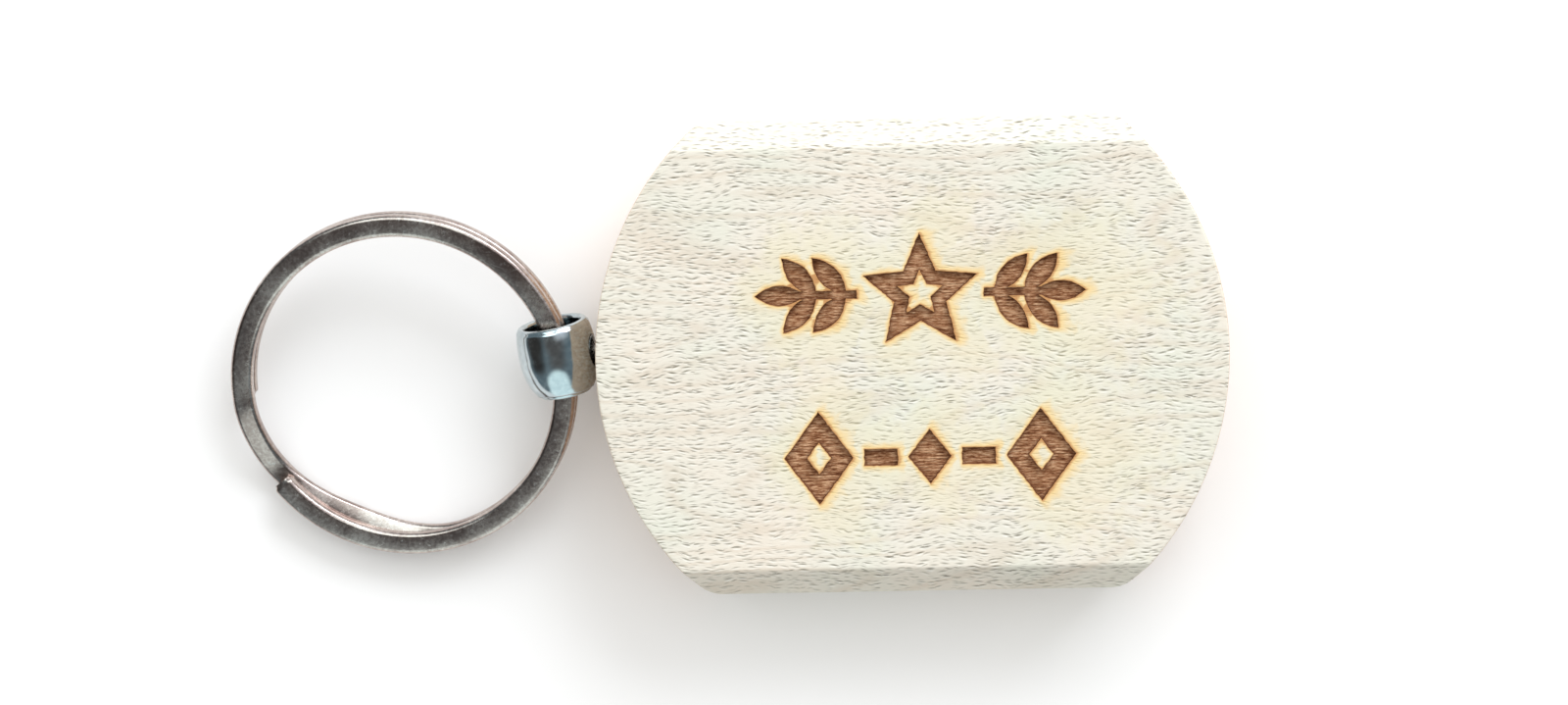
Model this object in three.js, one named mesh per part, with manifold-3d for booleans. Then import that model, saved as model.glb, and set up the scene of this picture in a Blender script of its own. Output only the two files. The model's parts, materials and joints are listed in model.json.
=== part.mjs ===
// Key fob with a wooden name plate: an engraved hardwood blank, a barbed swivel pin driven into its
// end, a bowl-shaped steel barrel that turns on the pin, and a split ring threaded through the barrel.
//
// Millimetres. The origin is the middle of the blank's back face. +Z comes out of the engraved face,
// +X points along the blank away from the ring, and +Y is the engraving's upright direction.
// The fob lies on its back, with the ring's lowest edge resting on the same surface.

import * as THREE from "three";
import { mergeVertices } from "three/addons/utils/BufferGeometryUtils.js";
import Module from "manifold-3d";

const wasm = await Module();
wasm.setup();

// Blank: a disc with two flats, bevelled in front along the flats.
const BLANK_WIDTH = 53;
const BLANK_HEIGHT = 40;
const BLANK_THICKNESS = 10;
const BEVEL = 2.25;
const CORNER_RADIUS = 2.5;

// Engraving.
const ENGRAVING_DEPTH = 0.5;
const AWARD_ROW = { x: 0.85, y: 5.4 };
const STAR_RADIUS = 5;
const STAR_WAIST = 0.46;
const STAR_ISLAND = 0.4;
const LEAF_LENGTH = 4.2;
const LEAF_WIDTH = 1.7;
const LEAF_SPREAD = THREE.MathUtils.degToRad(48);
const LEAF_PAIRS = 2;
const LEAF_SPACING = 2.5;
const FIRST_LEAF = 0.35;
const STEM_WIDTH = 0.7;
const SPRIG_GAP = 0.3;
const LOZENGE_ROW = { x: 1.4, y: -8.3 };
const LOZENGE = { width: 5.8, height: 7.8, stroke: 1.9 };
const CENTRE_LOZENGE = { width: 3.6, height: 4.6 };
const DASH = { length: 2.8, height: 1.4 };
const LOZENGE_GAP = 0.9;

// Swivel pin: distances run outwards along the pin from the point where it enters the wood.
const PIN_LEAN = THREE.MathUtils.degToRad(9.5);
const PIN_ENTRY_Y = 0.78;
const PIN_NECK_RADIUS = 0.8;
const PIN_HEAD_RADIUS = 1.3;
const PIN_HEAD_THICKNESS = 0.45;
const PIN_CROWN_RADIUS = 0.9;
const PIN_SHOULDER_RADIUS = 1.5;
const PIN_SHOULDER_DEPTH = 0.8;
const PIN_BARB_RADIUS = 1.2;
const PIN_CORE_RADIUS = 0.95;
const PIN_BARB_PITCH = 1.15;
const PIN_BARB_CREST = 0.8;
const PIN_BARB_FOOT = 0.9;
const PIN_BARBS = 6;
const PIN_TIP_LENGTH = 1.2;
const PIN_TIP_RADIUS = 0.45;

// Swivel barrel: it bulges between a narrow lower mouth and a wide upper one. Each play is the room
// left round the ring's wire. The forms pair a share of the half height with how full the wall is
// there, from 0 at the mouth's radius to 1 at the belly's.
const BARREL_HEIGHT = 6.3;
const BARREL_WALL = 0.6;
const BARREL_LIP = 0.18;
const BARREL_LOWER_PLAY = 0.18;
const BARREL_UPPER_PLAY = 0.93;
const BARREL_HEAD_PLAY = 0.07;
const BARREL_LOWER_FORM = [[-1, 0], [-0.64, 0.62], [-0.2, 0.96]];
const BARREL_UPPER_FORM = [[0.2, 1], [0.62, 0.75], [1, 0]];
const BARREL_TURN = THREE.MathUtils.degToRad(8.5);

// Split ring: one flat wire wound in two coils.
const RING_OUTER_RADIUS = 15;
const RING_WIRE_WIDTH = 1.9;
const RING_WIRE_THICKNESS = 1.15;
const RING_COIL_GAP = 0.08;
const RING_EDGE = 0.25;
const RING_CLIMB_FROM = THREE.MathUtils.degToRad(207);
const RING_CLIMB_TO = THREE.MathUtils.degToRad(176);
const RING_OFFSET_TO_PIN = 0.3;

// Clearances.
const WOOD_FIT = 0.06;
const RUNNING_FIT = 0.08;
const BARREL_TO_WOOD = 0.28;
const REST_CLEARANCE = 0.02;
const CUT_OVERSHOOT = 1;

// Smoothness.
const OUTLINE_STEPS = 24;
const ROUND_STEPS = 36;
const BARREL_STEPS = 10;
const PIN_STEPS = 20;
const RING_STEPS = 52;
const LEAF_STEPS = 5;

const blankRadius = BLANK_WIDTH / 2;
const halfHeight = BLANK_HEIGHT / 2;
const pinEntryX = -Math.sqrt(blankRadius ** 2 - PIN_ENTRY_Y ** 2);

const ringMeanRadius = RING_OUTER_RADIUS - RING_WIRE_WIDTH / 2;
const ringReach = ringMeanRadius - RING_OFFSET_TO_PIN;
const ringRise = RING_WIRE_THICKNESS + RING_COIL_GAP;
const ringHalfThickness = RING_WIRE_THICKNESS + RING_COIL_GAP / 2;
const wireReach = Math.hypot(RING_WIRE_WIDTH / 2, ringHalfThickness);

// The belly leaves room for the pin's head between its wall and the turning wire.
const wireToHead = wireReach + RING_OFFSET_TO_PIN + BARREL_HEAD_PLAY;
const headSeat = wireToHead + PIN_HEAD_THICKNESS + RUNNING_FIT;
const bellyInside = Math.hypot(headSeat, PIN_HEAD_RADIUS);
const bellyRadius = bellyInside + BARREL_WALL;
const barrelReach = bellyRadius + BARREL_TO_WOOD;
const pinHoleRadius = PIN_NECK_RADIUS + RUNNING_FIT;

function material(color, roughness, metalness) {
  return new THREE.MeshStandardMaterial({ color, roughness, metalness });
}

const hardwood = material("#e9dfc8", 0.75, 0);
const nickel = material("#9aa0a2", 0.25, 1);
const steel = material("#6f6a66", 0.4, 1);

// A geometry as a solid that can be joined and cut.
function solid(geometry) {
  const bare = geometry.clone();
  bare.deleteAttribute("normal");
  bare.deleteAttribute("uv");
  const merged = mergeVertices(bare, 1e-4);
  const mesh = new wasm.Mesh({
    numProp: 3,
    vertProperties: merged.attributes.position.array,
    triVerts: new Uint32Array(merged.index.array),
  });
  return new wasm.Manifold(mesh);
}

function geometryOf(made) {
  const mesh = made.getMesh();
  const geometry = new THREE.BufferGeometry();
  geometry.setAttribute("position", new THREE.BufferAttribute(mesh.vertProperties, 3));
  geometry.setIndex(new THREE.BufferAttribute(mesh.triVerts, 1));
  geometry.computeVertexNormals();
  return geometry;
}

function named(name, geometry, finish) {
  const mesh = new THREE.Mesh(geometry, finish);
  mesh.name = name;
  return mesh;
}

// A round bar along the pin's axis, from one distance outside the entry point to another.
function boreAlongPin(radius, from, to) {
  const bore = new THREE.CylinderGeometry(radius, radius, to - from, PIN_STEPS);
  bore.translate(0, (from + to) / 2, 0);
  bore.rotateZ(Math.PI / 2);
  return bore;
}

// The pin's own frame: +X runs into the wood, +Y is the barrel's axis before it is turned.
function placeOnPin(geometry) {
  geometry.rotateZ(PIN_LEAN);
  geometry.translate(pinEntryX, PIN_ENTRY_Y, BLANK_THICKNESS / 2);
  return geometry;
}

// ---- Wood blank ----

// A disc cut by two flats, with each corner between arc and flat rounded.
function blankOutline() {
  const cornerDistance = blankRadius - CORNER_RADIUS;
  const cornerY = halfHeight - CORNER_RADIUS;
  const cornerX = Math.sqrt(cornerDistance ** 2 - cornerY ** 2);
  const corner = Math.atan2(cornerY, cornerX);
  const right = Math.PI / 2;
  const outline = new THREE.Shape();
  outline.absarc(0, 0, blankRadius, -corner, corner);
  outline.absarc(cornerX, cornerY, CORNER_RADIUS, corner, right);
  outline.absarc(-cornerX, cornerY, CORNER_RADIUS, right, Math.PI - corner);
  outline.absarc(0, 0, blankRadius, Math.PI - corner, Math.PI + corner);
  outline.absarc(-cornerX, -cornerY, CORNER_RADIUS, Math.PI + corner, 3 * right);
  outline.absarc(cornerX, -cornerY, CORNER_RADIUS, 3 * right, 4 * right - corner);
  return outline;
}

// The long wedge that a 45 degree bevel takes off the front edge, on the +Y or the -Y side.
function bevelWedge(side) {
  const reach = BEVEL + CUT_OVERSHOOT;
  const edge = new THREE.Shape();
  edge.moveTo(-BEVEL, 0);
  edge.lineTo(CUT_OVERSHOOT, -reach);
  edge.lineTo(reach, 0);
  edge.lineTo(CUT_OVERSHOOT, CUT_OVERSHOOT);
  edge.lineTo(-BEVEL, CUT_OVERSHOOT);
  const length = BLANK_WIDTH + 2 * CUT_OVERSHOOT;
  const wedge = new THREE.ExtrudeGeometry(edge, { depth: length, bevelEnabled: false });
  wedge.rotateY(Math.PI / 2);
  wedge.rotateX(Math.PI / 2);
  wedge.translate(-length / 2, 0, 0);
  if (side < 0) wedge.rotateZ(Math.PI);
  return wedge;
}

// A pocket of the engraving's depth, with the given outline, sunk in the front face.
function pocket(outline) {
  const depth = ENGRAVING_DEPTH + CUT_OVERSHOOT;
  const cut = new THREE.ExtrudeGeometry(outline, {
    depth,
    bevelEnabled: false,
    curveSegments: LEAF_STEPS,
  });
  return cut.translate(0, 0, BLANK_THICKNESS - ENGRAVING_DEPTH);
}

function starPath(path, x, y, radius) {
  const points = 5;
  for (let i = 0; i < 2 * points; i++) {
    const reach = i % 2 === 0 ? radius : radius * STAR_WAIST;
    const angle = Math.PI / 2 + (i * Math.PI) / points;
    const at = [x + reach * Math.cos(angle), y + reach * Math.sin(angle)];
    if (i === 0) path.moveTo(...at);
    else path.lineTo(...at);
  }
  path.closePath();
  return path;
}

// A star-shaped groove round a small star that stands at the face's height.
function starPocket(x, y) {
  const star = starPath(new THREE.Shape(), x, y, STAR_RADIUS);
  star.holes.push(starPath(new THREE.Path(), x, y, STAR_RADIUS * STAR_ISLAND));
  return pocket(star);
}

// A pointed leaf that grows from its base in the given direction.
function leafPocket(x, y, direction) {
  const leaf = new THREE.Shape();
  leaf.moveTo(0, 0);
  leaf.quadraticCurveTo(LEAF_LENGTH / 2, -LEAF_WIDTH, LEAF_LENGTH, 0);
  leaf.quadraticCurveTo(LEAF_LENGTH / 2, LEAF_WIDTH, 0, 0);
  return pocket(leaf).rotateZ(direction).translate(x, y, 0);
}

function barPocket(x, y, length, height) {
  const bar = new THREE.Shape();
  bar.moveTo(x - length / 2, y - height / 2);
  bar.lineTo(x + length / 2, y - height / 2);
  bar.lineTo(x + length / 2, y + height / 2);
  bar.lineTo(x - length / 2, y + height / 2);
  return pocket(bar);
}

// A straight sprig that grows away from the star, to the right or the left.
function sprigPockets(side) {
  const stem = LEAF_PAIRS * LEAF_SPACING;
  const base = AWARD_ROW.x + side * (STAR_RADIUS + SPRIG_GAP);
  const forward = side > 0 ? 0 : Math.PI;
  const cuts = [barPocket(base + (side * stem) / 2, AWARD_ROW.y, stem, STEM_WIDTH)];
  for (let pair = 0; pair < LEAF_PAIRS; pair++) {
    const x = base + side * (pair + FIRST_LEAF) * LEAF_SPACING;
    cuts.push(leafPocket(x, AWARD_ROW.y, forward + LEAF_SPREAD));
    cuts.push(leafPocket(x, AWARD_ROW.y, forward - LEAF_SPREAD));
  }
  cuts.push(leafPocket(base + side * (stem - STEM_WIDTH), AWARD_ROW.y, forward));
  return cuts;
}

function lozengePath(path, x, y, width, height) {
  path.moveTo(x - width / 2, y);
  path.lineTo(x, y - height / 2);
  path.lineTo(x + width / 2, y);
  path.lineTo(x, y + height / 2);
  path.closePath();
  return path;
}

// Open lozenge, dash, small full lozenge, dash, open lozenge.
function lozengePockets() {
  const { x, y } = LOZENGE_ROW;
  const dashX = CENTRE_LOZENGE.width / 2 + LOZENGE_GAP + DASH.length / 2;
  const endX = dashX + DASH.length / 2 + LOZENGE_GAP + LOZENGE.width / 2;
  const centre = lozengePath(new THREE.Shape(), x, y, CENTRE_LOZENGE.width, CENTRE_LOZENGE.height);
  const cuts = [pocket(centre)];
  const inside = 1 - (2 * LOZENGE.stroke) / LOZENGE.width;
  for (const side of [-1, 1]) {
    cuts.push(barPocket(x + side * dashX, y, DASH.length, DASH.height));
    const at = [x + side * endX, y];
    const open = lozengePath(new THREE.Shape(), ...at, LOZENGE.width, LOZENGE.height);
    const island = [...at, LOZENGE.width * inside, LOZENGE.height * inside];
    open.holes.push(lozengePath(new THREE.Path(), ...island));
    cuts.push(pocket(open));
  }
  return cuts;
}

function engravingPockets() {
  const star = starPocket(AWARD_ROW.x, AWARD_ROW.y);
  return [star, ...sprigPockets(-1), ...sprigPockets(1), ...lozengePockets()];
}

// The pin's hole in the wood: a pilot hole for the barbs and a wider seat for the shoulder.
function pinHoles() {
  const shankEnd = PIN_SHOULDER_DEPTH + PIN_BARBS * PIN_BARB_PITCH + PIN_TIP_LENGTH;
  const seatDepth = PIN_SHOULDER_DEPTH + WOOD_FIT;
  return [
    boreAlongPin(PIN_BARB_RADIUS + WOOD_FIT, -shankEnd - WOOD_FIT, CUT_OVERSHOOT),
    boreAlongPin(PIN_SHOULDER_RADIUS + WOOD_FIT, -seatDepth, CUT_OVERSHOOT),
  ];
}

function woodBlank() {
  const blank = new THREE.ExtrudeGeometry(blankOutline(), {
    depth: BLANK_THICKNESS,
    bevelEnabled: false,
    curveSegments: OUTLINE_STEPS,
  });
  let made = solid(blank);
  for (const side of [-1, 1]) {
    const wedge = bevelWedge(side);
    wedge.translate(0, side * halfHeight, BLANK_THICKNESS);
    made = made.subtract(solid(wedge));
  }
  for (const cut of engravingPockets()) made = made.subtract(solid(cut));
  for (const hole of pinHoles()) made = made.subtract(solid(placeOnPin(hole)));
  return named("wood_blank", geometryOf(made), hardwood);
}

// ---- Swivel pin ----

// The pin's profile as radius and distance along the pin, from its tip in the wood to its head,
// which sits inside the barrel with its cone clear of the curved wall.
function pinProfile() {
  const points = [];
  const shankEnd = PIN_SHOULDER_DEPTH + PIN_BARBS * PIN_BARB_PITCH;
  const wallAtHole = barrelReach - Math.sqrt(bellyInside ** 2 - pinHoleRadius ** 2);
  const headTop = barrelReach - wireToHead;
  const headRim = headTop - PIN_HEAD_THICKNESS;
  points.push([0, -shankEnd - PIN_TIP_LENGTH]);
  points.push([PIN_TIP_RADIUS, -shankEnd - PIN_TIP_LENGTH]);
  for (let barb = 0; barb < PIN_BARBS; barb++) {
    const start = -shankEnd + barb * PIN_BARB_PITCH;
    points.push([PIN_CORE_RADIUS, start]);
    points.push([PIN_BARB_RADIUS, start + PIN_BARB_CREST * PIN_BARB_PITCH]);
    points.push([PIN_CORE_RADIUS, start + PIN_BARB_FOOT * PIN_BARB_PITCH]);
  }
  points.push([PIN_CORE_RADIUS, -PIN_SHOULDER_DEPTH]);
  points.push([PIN_SHOULDER_RADIUS, -PIN_SHOULDER_DEPTH]);
  points.push([PIN_SHOULDER_RADIUS, 0]);
  points.push([PIN_NECK_RADIUS, 0]);
  points.push([PIN_NECK_RADIUS, wallAtHole + RUNNING_FIT]);
  points.push([PIN_HEAD_RADIUS, headRim]);
  points.push([PIN_HEAD_RADIUS, headRim + PIN_HEAD_THICKNESS / 2]);
  points.push([PIN_CROWN_RADIUS, headTop]);
  points.push([0, headTop]);
  return points.map(([radius, along]) => new THREE.Vector2(radius, along));
}

function swivelPin() {
  const pin = new THREE.LatheGeometry(pinProfile(), PIN_STEPS);
  pin.rotateZ(Math.PI / 2);
  return named("swivel_pin", pin, steel);
}

// ---- Swivel barrel ----

// A smooth curve up the outside of the wall, from the lower mouth to the upper one.
function barrelOutside() {
  const half = BARREL_HEIGHT / 2;
  const wall = (play, form) => {
    const mouth = wireReach + play + BARREL_WALL;
    const full = (share) => THREE.MathUtils.lerp(mouth, bellyRadius, share);
    return form.map(([height, share]) => new THREE.Vector2(full(share), height * half));
  };
  const lower = wall(BARREL_LOWER_PLAY, BARREL_LOWER_FORM);
  const upper = wall(BARREL_UPPER_PLAY, BARREL_UPPER_FORM);
  return new THREE.SplineCurve([...lower, ...upper]);
}

// A closed loop: up the outside, round the upper lip, down the inside and round the lower lip.
function barrelProfile() {
  const up = barrelOutside().getPoints(BARREL_STEPS);
  const bottom = up[0];
  const top = up[BARREL_STEPS];
  const between = up.slice(1, BARREL_STEPS);
  const inward = BARREL_WALL - BARREL_LIP;
  const at = (point, inset, drop) => new THREE.Vector2(point.x - inset, point.y - drop);
  return [
    at(bottom, 0, -BARREL_LIP),
    ...between,
    at(top, 0, BARREL_LIP),
    at(top, BARREL_LIP, 0),
    at(top, inward, 0),
    at(top, BARREL_WALL, BARREL_LIP),
    ...between.toReversed().map((point) => at(point, BARREL_WALL, 0)),
    at(bottom, BARREL_WALL, -BARREL_LIP),
    at(bottom, inward, 0),
    at(bottom, BARREL_LIP, 0),
    at(bottom, 0, -BARREL_LIP),
  ];
}

// The barrel about its own axis, with the pin's running hole through the wall on its +X side.
function swivelBarrel() {
  const wall = solid(new THREE.LatheGeometry(barrelProfile(), ROUND_STEPS));
  const hole = boreAlongPin(pinHoleRadius, -bellyRadius - CUT_OVERSHOOT, 0);
  return named("swivel_barrel", geometryOf(wall.subtract(solid(hole))), nickel);
}

// ---- Split ring ----

// The wire's section as radial and axial distances from its own middle, with broken edges.
function wireSection() {
  const across = RING_WIRE_WIDTH / 2;
  const along = RING_WIRE_THICKNESS / 2;
  const e = RING_EDGE;
  return [
    [across, -along + e],
    [across, along - e],
    [across - e, along],
    [-across + e, along],
    [-across, along - e],
    [-across, -along + e],
    [-across + e, -along],
    [across - e, -along],
  ];
}

// How far the wire has climbed, from 0 on the lower coil to 1 on the upper one.
function climbed(turned, start, length) {
  const share = THREE.MathUtils.clamp((turned - start) / length, 0, 1);
  return THREE.MathUtils.smoothstep(share, 0, 1);
}

// The wire starts on the lower coil where the climb ends, runs clockwise once round, climbs to the
// upper coil and runs round again to a cut end just before the place where the climb began.
function splitRing() {
  const section = wireSection();
  const climb = RING_CLIMB_FROM - RING_CLIMB_TO;
  const endGap = RING_EDGE / ringMeanRadius;
  const firstTurn = 2 * Math.PI - climb;
  const total = 4 * Math.PI - climb - 2 * endGap;
  const rings = Math.round((total / (2 * Math.PI)) * RING_STEPS);
  const positions = [];
  const index = [];
  for (let i = 0; i <= rings; i++) {
    const turned = endGap + (total * i) / rings;
    const angle = RING_CLIMB_TO - turned;
    const level = ringRise * (climbed(turned, firstTurn, climb) - 0.5);
    for (const [radial, axial] of section) {
      const radius = ringMeanRadius + radial;
      positions.push(radius * Math.cos(angle), radius * Math.sin(angle), level + axial);
    }
  }
  const sides = section.length;
  for (let i = 0; i < rings; i++) {
    for (let k = 0; k < sides; k++) {
      const a = i * sides + k;
      const b = i * sides + ((k + 1) % sides);
      index.push(a, b, b + sides, a, b + sides, a + sides);
    }
  }
  const last = rings * sides;
  for (let k = 1; k < sides - 1; k++) {
    index.push(0, k + 1, k);
    index.push(last, last + k, last + k + 1);
  }
  const ring = new THREE.BufferGeometry();
  ring.setAttribute("position", new THREE.Float32BufferAttribute(positions, 3));
  ring.setIndex(index);
  ring.computeVertexNormals();
  return named("split_ring", ring, steel);
}

// How far the ring droops about the barrel's axis before its lower edge rests on the surface.
function restingDroop() {
  const edgeHeight = (droop) => {
    const fall = Math.sin(droop) * Math.cos(BARREL_TURN);
    const steepest = Math.hypot(fall, Math.sin(BARREL_TURN));
    const facing = Math.cos(droop) * Math.cos(BARREL_TURN);
    const centre = BLANK_THICKNESS / 2 - ringReach * fall;
    const drops = wireSection().map(([radial, axial]) => {
      return (ringMeanRadius + radial) * steepest + (ringRise / 2 - axial) * facing;
    });
    return centre - Math.max(...drops);
  };
  let low = -Math.PI / 4;
  let high = Math.PI / 4;
  for (let i = 0; i < 40; i++) {
    const middle = (low + high) / 2;
    if (edgeHeight(middle) > REST_CLEARANCE) low = middle;
    else high = middle;
  }
  return low;
}

// ---- Assembly ----

const ringFrame = new THREE.Group();
ringFrame.rotation.y = -restingDroop();
const ring = splitRing();
ring.position.x = -ringReach;
ringFrame.add(ring);

const barrelFrame = new THREE.Group();
barrelFrame.position.x = -barrelReach;
barrelFrame.rotation.x = BARREL_TURN;
barrelFrame.add(swivelBarrel(), ringFrame);

const pinFrame = new THREE.Group();
pinFrame.position.set(pinEntryX, PIN_ENTRY_Y, BLANK_THICKNESS / 2);
pinFrame.rotation.z = PIN_LEAN;
pinFrame.add(swivelPin(), barrelFrame);

const fob = new THREE.Group();
fob.add(woodBlank(), pinFrame);

export default fob;
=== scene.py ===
# %% [markdown]
# A wooden key fob lying on its back: an engraved hardwood blank, a barbed pin driven into its end, a
# bowl-shaped nickel barrel that turns on the pin, and a flat split ring threaded through the barrel.
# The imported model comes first. It is the frame that every finished piece is built around, in metres,
# with the origin in the middle of the blank's back face and +Z out of the engraved face.

# %% Load the frame
import json
import math

import bmesh
import bpy
import numpy as np
from mathutils import Matrix, Vector, geometry


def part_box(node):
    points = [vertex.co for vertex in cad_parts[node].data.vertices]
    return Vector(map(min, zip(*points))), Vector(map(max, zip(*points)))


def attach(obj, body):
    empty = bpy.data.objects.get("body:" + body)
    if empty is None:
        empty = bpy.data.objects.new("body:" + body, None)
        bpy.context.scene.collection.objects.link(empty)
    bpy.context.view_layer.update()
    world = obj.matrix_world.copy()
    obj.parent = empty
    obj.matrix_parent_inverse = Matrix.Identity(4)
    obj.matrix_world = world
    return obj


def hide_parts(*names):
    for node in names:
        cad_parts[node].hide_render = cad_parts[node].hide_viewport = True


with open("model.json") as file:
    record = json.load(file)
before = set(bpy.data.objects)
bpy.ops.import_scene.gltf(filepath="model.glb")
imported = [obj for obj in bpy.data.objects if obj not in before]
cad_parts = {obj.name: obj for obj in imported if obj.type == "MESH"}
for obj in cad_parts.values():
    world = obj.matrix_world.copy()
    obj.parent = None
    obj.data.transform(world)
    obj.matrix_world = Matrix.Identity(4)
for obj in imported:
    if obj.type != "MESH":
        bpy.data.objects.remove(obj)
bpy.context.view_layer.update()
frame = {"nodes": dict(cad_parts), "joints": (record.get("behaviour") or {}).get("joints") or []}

MM = 0.001

# %% [markdown]
# The places that everything else is built on are read from the frame: the blank's box, the barrel's
# middle and axis, and the pin's direction. The ring is tilted, so its plane is found by looking for
# the direction in which its vertices spread least.

# %% Places read from the frame
blank_low, blank_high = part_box("wood_blank")
blank_width = blank_high.x - blank_low.x
blank_height = blank_high.y - blank_low.y
blank_thickness = blank_high.z - blank_low.z

joints = {joint["name"]: joint for joint in frame["joints"]}
barrel_middle = Vector(joints["barrel_swivel"]["pos_m"])
pin_outward = Vector(joints["barrel_swivel"]["axis"]).normalized()
barrel_axis = Vector(joints["ring_swing"]["axis"]).normalized()


def mesh_points(node):
    vertices = frame["nodes"][node].data.vertices
    return np.array([v.co for v in vertices], float).reshape(-1, 3)


def frame_matrix(origin, along_x, along_z):
    """A matrix that takes a piece from its own axes to its place in the frame."""
    z = along_z.normalized()
    x = (along_x - along_x.dot(z) * z).normalized()
    turn = Matrix((x, z.cross(x), z)).transposed().to_4x4()
    return Matrix.Translation(origin) @ turn


ring_points = mesh_points("split_ring")
spread = np.linalg.svd(ring_points - ring_points.mean(0), full_matrices=False)[2]
ring_up = Vector(spread[2] * np.sign(spread[2][2]))
rough_place = frame_matrix(Vector(ring_points.mean(0)), barrel_middle, ring_up)
flat = (ring_points - ring_points.mean(0)) @ np.array(rough_place.to_3x3())
middle = (flat.min(0) + flat.max(0)) / 2
ring_middle = rough_place @ Vector(middle)
ring_place = frame_matrix(ring_middle, barrel_middle - ring_middle, ring_up)
ring_outer = float(np.linalg.norm((flat - middle)[:, :2], axis=1).max())
print("ring middle, mm:", [round(c / MM, 2) for c in ring_middle])
print("ring outer radius, mm:", round(ring_outer / MM, 3))

# %% [markdown]
# Small helpers. Colours are written as sRGB hex values, the way they are picked, and one
# function turns them into the linear values that Blender's sockets hold. Another function adds a
# node, with its settings and links, to a material, the sky or a Geometry Nodes tree.

# %% Helpers for colours and nodes
MIX_A, MIX_B = 6, 7


def linear(hex_value, strength=1.0):
    channels = [int(hex_value[i : i + 2], 16) / 255 for i in (1, 3, 5)]
    bright = [c / 12.92 if c <= 0.04045 else ((c + 0.055) / 1.055) ** 2.4 for c in channels]
    return (*[c * strength for c in bright], 1.0)


def add(tree, kind, inputs=None, stops=None, **settings):
    """Adds a node. Its inputs, by name or number, are values, sockets or whole nodes, and a whole node
    stands for its first output in use. Stops are the places and colours of a colour ramp."""
    made = tree.nodes.new(kind)
    for name, value in settings.items():
        setattr(made, name, value)
    for name, value in (inputs or {}).items():
        if isinstance(value, bpy.types.Node):
            value = next(output for output in value.outputs if output.enabled)
        if isinstance(value, bpy.types.NodeSocket):
            tree.links.new(value, made.inputs[name])
        else:
            made.inputs[name].default_value = value
    if stops:
        elements = made.color_ramp.elements
        while len(elements) < len(stops):
            elements.new(0.5)
        for element, (position, colour) in zip(elements, stops):
            element.position = position
            element.color = linear(colour)
    return made


def start_material(name):
    """An empty material, and its Object coordinates in millimetres."""
    made = bpy.data.materials.new(name)
    made.use_nodes = True
    tree = made.node_tree
    tree.nodes.clear()
    place = add(tree, "ShaderNodeTexCoord").outputs["Object"]
    mm = add(tree, "ShaderNodeVectorMath", {0: place, 1: (1 / MM,) * 3}, operation="MULTIPLY")
    return made, tree, mm


def finish_material(tree, looks):
    shader = add(tree, "ShaderNodeBsdfPrincipled", looks)
    add(tree, "ShaderNodeOutputMaterial", {"Surface": shader})


def new_object(name, mesh):
    made = bpy.data.objects.new(name, mesh)
    bpy.context.scene.collection.objects.link(made)
    return made


def settle(obj):
    """Turns an object and its modifiers into one plain mesh."""
    bpy.context.view_layer.update()
    graph = bpy.context.evaluated_depsgraph_get()
    evaluated = obj.evaluated_get(graph)
    plain = bpy.data.meshes.new_from_object(evaluated, preserve_all_data_layers=True, depsgraph=graph)
    obj.modifiers.clear()
    obj.data = plain
    return obj


# %% [markdown]
# Ray flecks, pores and scratches are all the same thing: thousands of small strokes that run much the
# same way. Each cell of a stretched Voronoi texture holds one of them. The offset from the cell's own
# point is measured in millimetres, skewed by a random slope, and squeezed into a thin lens.


# %% Short strokes
def short_strokes(tree, vector, cell, size, slope, faintest):
    """One stroke in each cell: 1 in its middle, 0 outside it, and some fainter at random."""
    scale = {0: vector, 1: tuple(1 / c for c in cell)}
    stretched = add(tree, "ShaderNodeVectorMath", scale, operation="MULTIPLY")
    cells = add(tree, "ShaderNodeTexVoronoi", {"Vector": stretched, "Scale": 1.0, "Randomness": 0.85})
    offset = {0: stretched, 1: cells.outputs["Position"]}
    offset = add(tree, "ShaderNodeVectorMath", offset, operation="SUBTRACT")
    share = {0: offset, 1: tuple(c / half for c, half in zip(cell, size))}
    share = add(tree, "ShaderNodeVectorMath", share, operation="MULTIPLY")
    share = add(tree, "ShaderNodeSeparateXYZ", {0: share})
    chance = add(tree, "ShaderNodeSeparateColor", {0: cells.outputs["Color"]})
    steepest = slope * size[0] / size[1]
    lean = {"Value": chance.outputs[0], "To Min": -steepest, "To Max": steepest}
    lean = add(tree, "ShaderNodeMapRange", lean)
    across = {0: share.outputs["X"], 1: lean, 2: share.outputs["Y"]}
    across = add(tree, "ShaderNodeMath", across, operation="MULTIPLY_ADD")
    lens = {"X": share.outputs["X"], "Y": across, "Z": share.outputs["Z"]}
    lens = add(tree, "ShaderNodeCombineXYZ", lens)
    lens = add(tree, "ShaderNodeVectorMath", {0: lens}, operation="LENGTH")
    mark = {"Value": lens, "From Min": 0.1, "From Max": 1.0, "To Min": 1.0, "To Max": 0.0}
    mark = add(tree, "ShaderNodeMapRange", mark, interpolation_type="SMOOTHSTEP")
    weight = add(tree, "ShaderNodeMapRange", {"Value": chance.outputs[1], "To Min": faintest})
    return add(tree, "ShaderNodeMath", {0: mark, 1: weight}, operation="MULTIPLY")
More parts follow.
